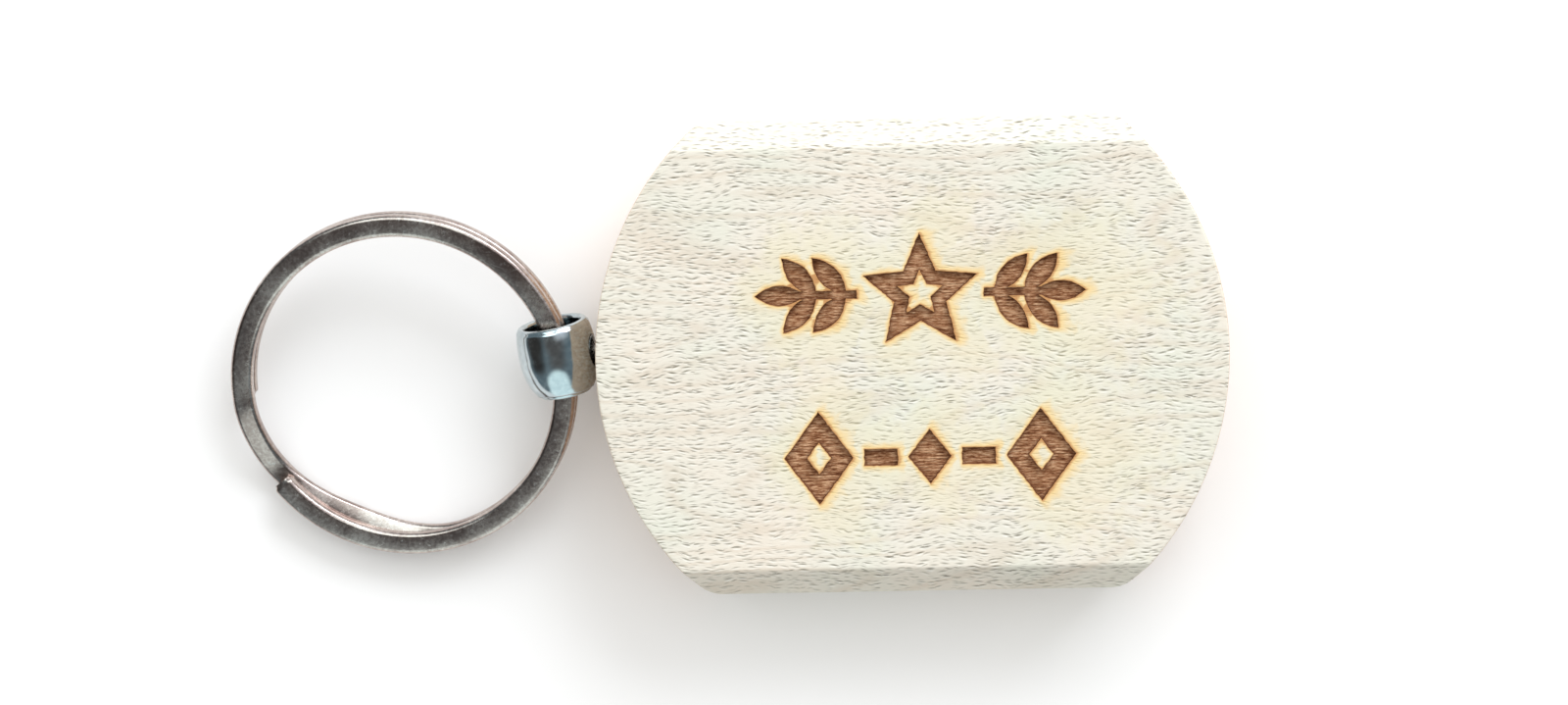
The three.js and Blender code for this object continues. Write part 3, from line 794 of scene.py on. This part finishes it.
def turned(name, profile, place, steps=TURNING_STEPS, smooth_angle=30):
    """A closed solid of revolution. The profile is (radius, along) in mm, from axis to axis or a loop."""
    bm = bmesh.new()
    closed = profile[0][0] > 0
    rings = []
    for radius, along in profile:
        if radius == 0:
            rings.append([bm.verts.new((0, 0, along))] * steps)
            continue
        angles = [2 * math.pi * i / steps for i in range(steps)]
        rings.append([bm.verts.new((radius * math.cos(a), radius * math.sin(a), along)) for a in angles])
    pairs = list(zip(rings, rings[1:])) + ([(rings[-1], rings[0])] if closed else [])
    for lower, upper in pairs:
        for i in range(steps):
            j = (i + 1) % steps
            around = [lower[i], lower[j], upper[j], upper[i]]
            corners_of = [v for k, v in enumerate(around) if v is not around[k - 1]]
            bm.faces.new(corners_of)
    bmesh.ops.recalc_face_normals(bm, faces=bm.faces[:])
    bmesh.ops.scale(bm, vec=(MM,) * 3, verts=bm.verts[:])
    mesh = bpy.data.meshes.new(name)
    bm.to_mesh(mesh)
    bm.free()
    mesh.transform(place)
    mesh.shade_smooth()
    mesh.set_sharp_from_angle(angle=math.radians(smooth_angle))
    return new_object(name, mesh)


# %% [markdown]
# The pin is a turned nail with six barbs. Its shoulder sits in the hole's mouth, its neck passes
# through the barrel's wall and its head is inside the barrel. Only the shoulder, the neck and the
# head can be seen, but the whole pin is made. Its distances run outwards from the wood's surface.

# %% Pin sizes, in millimetres
PIN_NECK, PIN_HEAD, PIN_CROWN, PIN_HEAD_THICKNESS = 0.8, 1.3, 0.9, 0.45
PIN_SHOULDER, PIN_SHOULDER_DEPTH = 1.5, 0.8
BARB, BARB_CORE, BARB_PITCH, BARBS = 1.2, 0.95, 1.15, 6
BARB_CREST, BARB_FOOT = 0.8, 0.9
PIN_TIP, PIN_TIP_LENGTH = 0.45, 1.2
PIN_EASE, PIN_CONE = 0.08, 0.5
WOOD_FIT, RUNNING_FIT = 0.06, 0.08
pin_points = (mesh_points("swivel_pin") - np.array(barrel_middle)) @ np.array(pin_outward) / MM
head_top = float(pin_points.max())
pin_root = float(pin_points.min())
shank_end = PIN_SHOULDER_DEPTH + BARBS * BARB_PITCH + PIN_TIP_LENGTH
entry = pin_root + shank_end
pin_place = frame_matrix(barrel_middle, Vector((0, 0, 1)), pin_outward)
print("pin enters the wood", round(-entry, 2), "mm from the barrel's middle")


def pin_profile():
    barbs_from = entry - PIN_SHOULDER_DEPTH - BARBS * BARB_PITCH
    profile = [(0, pin_root), (PIN_TIP, pin_root)]
    for barb in range(BARBS):
        start = barbs_from + barb * BARB_PITCH
        profile.append((BARB_CORE, start))
        profile.append((BARB, start + BARB_CREST * BARB_PITCH))
        profile.append((BARB_CORE, start + BARB_FOOT * BARB_PITCH))
    rim = head_top - PIN_HEAD_THICKNESS
    cone = rim - (PIN_HEAD - PIN_NECK) * PIN_CONE
    return profile + [
        (BARB_CORE, entry - PIN_SHOULDER_DEPTH),
        (PIN_SHOULDER - PIN_EASE, entry - PIN_SHOULDER_DEPTH),
        (PIN_SHOULDER, entry - PIN_SHOULDER_DEPTH + PIN_EASE),
        (PIN_SHOULDER, entry - PIN_EASE),
        (PIN_SHOULDER - PIN_EASE, entry),
        (PIN_NECK, entry),
        (PIN_NECK, cone),
        (PIN_HEAD, rim),
        (PIN_HEAD, rim + PIN_HEAD_THICKNESS / 2),
        (PIN_CROWN, head_top),
        (0, head_top),
    ]


pin = turned("barbed_pin", pin_profile(), pin_place)
pin.data.materials.append(worn)


# %% Drilling the blank
def drill(obj, profile, place):
    """Cuts a turned shape out of an object."""
    bit = turned("drill_bit", profile, place)
    bit.data.materials.append(obj.data.materials[0])
    cut = obj.modifiers.new("drilled", "BOOLEAN")
    cut.operation, cut.solver, cut.object = "DIFFERENCE", "EXACT", bit
    settle(obj)
    bpy.data.objects.remove(bit)


OVERSHOOT = 1.0
BLANK_SMOOTH_ANGLE = math.radians(35)
hole_end = pin_root - WOOD_FIT
seat_end = entry - PIN_SHOULDER_DEPTH - WOOD_FIT
pilot = [(0, hole_end), (BARB + WOOD_FIT, hole_end), (BARB + WOOD_FIT, seat_end)]
seat = [(PIN_SHOULDER + WOOD_FIT, seat_end), (PIN_SHOULDER + WOOD_FIT, entry + OVERSHOOT)]
drill(blank, [*pilot, *seat, (0, entry + OVERSHOOT)], pin_place)
store_burn(blank.data)
blank.data.shade_smooth()
blank.data.set_sharp_from_angle(angle=BLANK_SMOOTH_ANGLE)
weighted = blank.modifiers.new("even_normals", "WEIGHTED_NORMAL")
weighted.keep_sharp = True
settle(blank)
print("drilled blank:", len(blank.data.polygons), "faces")

# %% [markdown]
# The barrel is pressed from sheet into a small bowl with an open bottom. Its wall follows one smooth
# curve through six points, the same curve as in the frame, and both lips are rolled round.

# %% Barrel
BARREL_WALL = 0.6
BARREL_FORM = [(-1, 0), (-0.64, 0.62), (-0.2, 0.96), (0.2, 1), (0.62, 0.75), (1, 0)]
LIP_STEPS, WALL_STEPS, BARREL_STEPS = 6, 40, 128
MOUTH_BAND = 0.08
NECK_DRILL_REACH = 6.0


def barrel_radii():
    """The outside radii of the lower mouth, the belly and the upper mouth, from the frame."""
    out = mesh_points("swivel_barrel") - np.array(barrel_middle)
    along = out @ np.array(barrel_axis)
    radius = np.linalg.norm(out - along[:, None] * np.array(barrel_axis), axis=1)
    half = along.max()
    near = MOUTH_BAND * half
    lower = radius[along < -half + near].max()
    upper = radius[along > half - near].max()
    return half / MM, lower / MM, radius.max() / MM, upper / MM


def smooth_curve(points, steps):
    """A Catmull-Rom curve through the points, its ends held still."""
    points = np.array(points, float)
    padded = np.concatenate([points[:1], points, points[-1:]])
    curve = []
    for t in np.linspace(0, len(points) - 1, steps + 1):
        i = min(int(t), len(points) - 2)
        u = t - i
        p0, p1, p2, p3 = padded[i : i + 4]
        v0, v1 = (p2 - p0) / 2, (p3 - p1) / 2
        cubic = (2 * p1 - 2 * p2 + v0 + v1) * u**3 + (-3 * p1 + 3 * p2 - 2 * v0 - v1) * u**2
        curve.append(cubic + v0 * u + p1)
    return np.array(curve)


def barrel_profile():
    half, lower, belly, upper = barrel_radii()
    wall = []
    for height, full in BARREL_FORM:
        mouth = lower if height < 0 else upper
        wall.append((mouth + full * (belly - mouth), height * half))
    outside = smooth_curve(wall, WALL_STEPS)
    roll = BARREL_WALL / 2
    outside[0, 1] += roll
    outside[-1, 1] -= roll
    keep = (outside[:, 1] >= outside[0, 1]) & (outside[:, 1] <= outside[-1, 1])
    outside = outside[keep]
    angles = np.linspace(0, math.pi, LIP_STEPS + 1)[1:-1]
    top, bottom = outside[-1] - (roll, 0), outside[0] - (roll, 0)
    over = [top + roll * np.array((math.cos(a), math.sin(a))) for a in angles]
    under = [bottom - roll * np.array((math.cos(a), math.sin(a))) for a in angles]
    inner = outside[::-1] - (BARREL_WALL, 0)
    return [tuple(p) for p in [*outside, *over, *inner, *under]]


barrel_place = frame_matrix(barrel_middle, -pin_outward, barrel_axis)
barrel = turned("pressed_barrel", barrel_profile(), barrel_place, BARREL_STEPS, smooth_angle=50)
barrel.data.materials.append(nickel)
neck_hole = PIN_NECK + RUNNING_FIT
from_wood = -NECK_DRILL_REACH
drill(barrel, [(0, from_wood), (neck_hole, from_wood), (neck_hole, 0), (0, 0)], pin_place)
print("barrel radii, mm:", [round(r, 2) for r in barrel_radii()])

# %% [markdown]
# The split ring is one length of flat wire wound twice round. Its middle line follows a rule: a circle
# that climbs from the lower coil to the upper one within a short arc. That is a good use of Geometry
# Nodes: a plain line is resampled, each of its points is moved to its place on the winding, and the
# wire's rounded section is swept along it.

# %% Split ring
WIRE_WIDTH, WIRE_THICKNESS, COIL_GAP, WIRE_EDGE = 1.9, 1.15, 0.08, 0.42
CLIMB_FROM, CLIMB_TO = math.radians(207), math.radians(176)
END_GAP = 0.25
SPRING_BACK = 0.02
SLIM_END = 0.72
WINDING_STEPS, EDGE_STEPS = 1100, 6
RING_SMOOTH_ANGLE = math.radians(50)

# Just before it climbs, the lower coil is pressed inwards, down and a little over, to slip past the
# other end of the wire.
JOG_AT, JOG_REACH = math.radians(238), math.radians(42)
JOG_INWARD, JOG_DOWN, JOG_LEAN = 0.95, 0.18, math.radians(18)
LEAN_HOLD = 2.2


def winding_tree(sizes):
    tree = bpy.data.node_groups.new("flat wire winding", "GeometryNodeTree")
    for name in sizes:
        kind = "NodeSocketMaterial" if name == "Finish" else "NodeSocketFloat"
        kind = "NodeSocketInt" if name == "Steps" else kind
        tree.interface.new_socket(name, in_out="INPUT", socket_type=kind)
    tree.interface.new_socket("Geometry", in_out="OUTPUT", socket_type="NodeSocketGeometry")
    given = add(tree, "NodeGroupInput").outputs

    # How far each point of the wire has turned, and the angle that it lies at.
    line = add(tree, "GeometryNodeCurvePrimitiveLine")
    line = add(tree, "GeometryNodeResampleCurve", {"Curve": line, "Count": given["Steps"]})
    share = add(tree, "GeometryNodeSplineParameter").outputs["Factor"]
    turned_by = add(tree, "ShaderNodeMath", {0: share, 1: given["Total turn"]}, operation="MULTIPLY")
    angle = {0: given["Start angle"], 1: turned_by}
    angle = add(tree, "ShaderNodeMath", angle, operation="SUBTRACT")

    # The radius: even, apart from the jog.
    from_jog = {0: turned_by, 1: given["Jog at"]}
    from_jog = add(tree, "ShaderNodeMath", from_jog, operation="SUBTRACT")
    from_jog = add(tree, "ShaderNodeMath", {0: from_jog}, operation="ABSOLUTE")
    jog = {"Value": from_jog, "From Max": given["Jog reach"], "To Min": 1.0, "To Max": 0.0}
    jog = add(tree, "ShaderNodeMapRange", jog, interpolation_type="SMOOTHSTEP")
    inward = add(tree, "ShaderNodeMath", {0: jog, 1: given["Jog inward"]}, operation="MULTIPLY")
    radius = {0: given["Mean radius"], 1: inward}
    radius = add(tree, "ShaderNodeMath", radius, operation="SUBTRACT")

    # The height: one coil, then the climb, then the other coil, and a dip at the jog.
    climb_ends = {0: given["Climb starts"], 1: given["Climb length"]}
    climb_ends = add(tree, "ShaderNodeMath", climb_ends, operation="ADD")
    climb = {"Value": turned_by, "From Min": given["Climb starts"], "From Max": climb_ends}
    climb.update({"To Min": -0.5, "To Max": 0.5})
    climb = add(tree, "ShaderNodeMapRange", climb, interpolation_type="SMOOTHSTEP")
    level = add(tree, "ShaderNodeMath", {0: climb, 1: given["Rise"]}, operation="MULTIPLY")
    dip = add(tree, "ShaderNodeMath", {0: jog, 1: given["Jog down"]}, operation="MULTIPLY")
    z = add(tree, "ShaderNodeMath", {0: level, 1: dip}, operation="SUBTRACT")
    place = {"Z": z}
    for axis, turning in [("X", "COSINE"), ("Y", "SINE")]:
        part = add(tree, "ShaderNodeMath", {0: angle}, operation=turning)
        place[axis] = add(tree, "ShaderNodeMath", {0: part, 1: radius}, operation="MULTIPLY")
    place = add(tree, "ShaderNodeCombineXYZ", place)
    wound = add(tree, "GeometryNodeSetPosition", {"Geometry": line, "Position": place})
    upright = add(tree, "GeometryNodeSetCurveNormal", {"Curve": wound}, mode="Z_UP")
    steady = {0: jog, 1: LEAN_HOLD}
    steady = add(tree, "ShaderNodeMath", steady, operation="MULTIPLY", use_clamp=True)
    lean = add(tree, "ShaderNodeMath", {0: steady, 1: given["Jog lean"]}, operation="MULTIPLY")
    leaning = add(tree, "GeometryNodeSetCurveTilt", {"Curve": upright, "Tilt": lean})

    # The wire's section, slimmer just at the two ends, where the cutter has rounded them over.
    section = {"Width": given["Wire width"], "Height": given["Wire thickness"]}
    section = add(tree, "GeometryNodeCurvePrimitiveQuadrilateral", section, mode="RECTANGLE")
    section = {"Curve": section, "Radius": given["Wire edge"], "Count": EDGE_STEPS}
    section = add(tree, "GeometryNodeFilletCurve", section, mode="POLY")
    back = add(tree, "ShaderNodeMath", {0: 1.0, 1: share}, operation="SUBTRACT")
    from_end = add(tree, "ShaderNodeMath", {0: share, 1: back}, operation="MINIMUM")
    easing = {0: given["Wire edge"], 1: given["Mean radius"]}
    easing = add(tree, "ShaderNodeMath", easing, operation="DIVIDE")
    easing = add(tree, "ShaderNodeMath", {0: easing, 1: given["Total turn"]}, operation="DIVIDE")
    slim = {"Value": from_end, "From Max": easing, "To Min": SLIM_END, "To Max": 1.0}
    slim = add(tree, "ShaderNodeMapRange", slim, interpolation_type="SMOOTHERSTEP")
    swept = {"Curve": leaning, "Profile Curve": section, "Scale": slim, "Fill Caps": True}
    swept = add(tree, "GeometryNodeCurveToMesh", swept)
    real = add(tree, "GeometryNodeRealizeInstances", {"Geometry": swept})
    coated = {"Geometry": real, "Material": given["Finish"]}
    coated = add(tree, "GeometryNodeSetMaterial", coated)
    add(tree, "NodeGroupOutput", {"Geometry": coated})
    return tree


def split_ring(finish):
    mean = ring_outer / MM - WIRE_WIDTH / 2
    climb = CLIMB_FROM - CLIMB_TO
    end_gap = END_GAP / mean
    start = CLIMB_TO - end_gap
    sizes = {
        "Mean radius": (mean - SPRING_BACK) * MM,
        "Wire width": WIRE_WIDTH * MM,
        "Wire thickness": WIRE_THICKNESS * MM,
        "Wire edge": WIRE_EDGE * MM,
        "Rise": (WIRE_THICKNESS + COIL_GAP) * MM,
        "Start angle": start,
        "Total turn": 4 * math.pi - climb - 2 * end_gap,
        "Climb starts": 2 * math.pi - climb - end_gap,
        "Climb length": climb,
        "Jog at": 2 * math.pi + start - JOG_AT,
        "Jog reach": JOG_REACH,
        "Jog inward": JOG_INWARD * MM,
        "Jog down": JOG_DOWN * MM,
        "Jog lean": JOG_LEAN,
        "Steps": WINDING_STEPS,
        "Finish": finish,
    }
    ring = new_object("flat_split_ring", bpy.data.meshes.new("winding_seed"))
    modifier = ring.modifiers.new("winding", "NODES")
    modifier.node_group = winding_tree(sizes)
    for item in modifier.node_group.interface.items_tree:
        if item.in_out == "INPUT":
            modifier[item.identifier] = sizes[item.name]
    settle(ring)
    ring.data.transform(ring_place)
    ring.data.shade_smooth()
    ring.data.set_sharp_from_angle(angle=RING_SMOOTH_ANGLE)
    return ring


ring = split_ring(worn)
print("ring:", len(ring.data.polygons), "faces")

# %% [markdown]
# Each finished piece now takes the place of its plain solid and rides on the body that carries it.

# %% Pieces on their bodies
PIECES = [
    (blank, "fob", "wood_blank", "hardwood"),
    (pin, "fob", "swivel_pin", "pin_steel"),
    (barrel, "barrel", "swivel_barrel", "barrel_nickel"),
    (ring, "ring", "split_ring", "ring_nickel"),
]
for piece, body, node_name, slot_name in PIECES:
    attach(piece, body)
    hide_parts(node_name)

# %% [markdown]
# The floor, the light and the camera. The floor is a plain white table. One large soft lamp stands
# beyond the blank's upper edge, so the upper bevel is the brightest face and the lower one is in half
# shade. The camera looks nearly straight down from about 30 cm.

# %% Floor
FLOOR_SIZE, FLOOR_DROP = 3.0, 0.00002
floor_mesh = bpy.data.meshes.new("table_top")
floor_corners = [(*corner, -FLOOR_DROP) for corner in bar(0, 0, FLOOR_SIZE, FLOOR_SIZE)]
floor_mesh.from_pydata(floor_corners, [], [(0, 1, 2, 3)])
floor = new_object("table_top", floor_mesh)
card, card_tree, _ = start_material("white card")
card_looks = {"Base Color": linear("#fcfcfb"), "Roughness": 0.9, "Specular IOR Level": 0.1}
finish_material(card_tree, card_looks)
floor_mesh.materials.append(card)


# %% Light
KEY_DISTANCE = 2.0
KEY_FROM_ZENITH, KEY_AROUND = math.radians(59), math.radians(62)
KEY_SIZE, KEY_POWER = (1.3, 0.8), 22.0
window = bpy.data.lights.new("window", "AREA")
window.shape, window.size, window.size_y = "RECTANGLE", *KEY_SIZE
window.energy, window.color = KEY_POWER, linear("#f2f7ff")[:3]
window_lamp = new_object("window", window)
reach = KEY_DISTANCE * math.sin(KEY_FROM_ZENITH)
height = KEY_DISTANCE * math.cos(KEY_FROM_ZENITH)
window_place = Vector((reach * math.cos(KEY_AROUND), reach * math.sin(KEY_AROUND), height))
window_lamp.location = window_place
window_lamp.rotation_euler = window_place.to_track_quat("Z", "Y").to_euler()

# %% [markdown]
# The sky does two jobs. It lights the wood and the table, more from the window's side. Metal mirrors
# another sky, as in a studio where dark and bright cards stand round a polished thing: grey all round,
# darker overhead and beyond the ring, with two bright cards on the window's side and two opposite.

# %% Sky
SKY_COLOUR, SKY_LEVEL, SKY_TILT = "#fbfbfa", 0.95, 0.68
MIRRORED_SKY = ("#75838a", 1.0)

# Each card is a direction, its angles from full to none in degrees, a colour and a strength.
MIRRORED_CARDS = [
    ((0, 0, 1), (16, 40), "#605d5c", 1.0),
    ((-0.85, -0.15, 0.5), (14, 34), "#3a3735", 1.0),
    ((0.0, -0.85, 0.5), (22, 34), "#e4f8fa", 1.3),
    ((0.05, -0.97, 0.12), (20, 32), "#e4f8fa", 1.3),
    ((0.25, 0.62, 0.75), (26, 40), "#f4f8ff", 1.15),
    ((-0.2, 0.45, 0.87), (15, 24), "#eafafc", 2.8),
]
world = bpy.data.worlds.new("studio")
world.use_nodes = True
bpy.context.scene.world = world
sky = world.node_tree
sky.nodes.clear()
direction = add(sky, "ShaderNodeTexCoord").outputs["Generated"]
ahead = add(sky, "ShaderNodeSeparateXYZ", {0: direction}).outputs["Y"]
level = add(sky, "ShaderNodeMath", {0: ahead, 1: SKY_TILT, 2: SKY_LEVEL}, operation="MULTIPLY_ADD")
lighting = add(sky, "ShaderNodeBackground", {"Color": linear(SKY_COLOUR), "Strength": level})

tone = linear(*MIRRORED_SKY)
for aim, (full, none), colour, strength in MIRRORED_CARDS:
    towards = {0: direction, 1: Vector(aim).normalized()}
    towards = add(sky, "ShaderNodeVectorMath", towards, operation="DOT_PRODUCT")
    edges = {"Value": towards, "From Min": math.cos(math.radians(none))}
    edges["From Max"] = math.cos(math.radians(full))
    edges = add(sky, "ShaderNodeMapRange", edges, interpolation_type="SMOOTHSTEP")
    tone = {0: edges, MIX_A: tone, MIX_B: linear(colour, strength)}
    tone = add(sky, "ShaderNodeMix", tone, data_type="RGBA")
mirrored = add(sky, "ShaderNodeBackground", {"Color": tone, "Strength": 1.0})
is_mirror = add(sky, "ShaderNodeLightPath").outputs["Is Glossy Ray"]
both = add(sky, "ShaderNodeMixShader", {0: is_mirror, 1: lighting, 2: mirrored})
add(sky, "ShaderNodeOutputWorld", {"Surface": both})

# %% Camera
CAMERA_HEIGHT = 0.300
CAMERA_SIDE = (0.0031, 0.0264)
CAMERA_TILT = (math.radians(-4.96), math.radians(2.5), math.radians(-1.39))
SENSOR, LENS = 36.0, 82.73
CLIP = (0.01, 20)
camera_data = bpy.data.cameras.new("camera")
camera_data.sensor_width, camera_data.lens = SENSOR, LENS
camera_data.clip_start, camera_data.clip_end = CLIP
camera = new_object("camera", camera_data)
camera.location = (*CAMERA_SIDE, blank_high.z + CAMERA_HEIGHT)
camera.rotation_euler = CAMERA_TILT
bpy.context.scene.camera = camera
bpy.context.scene.view_settings.view_transform = "Standard"
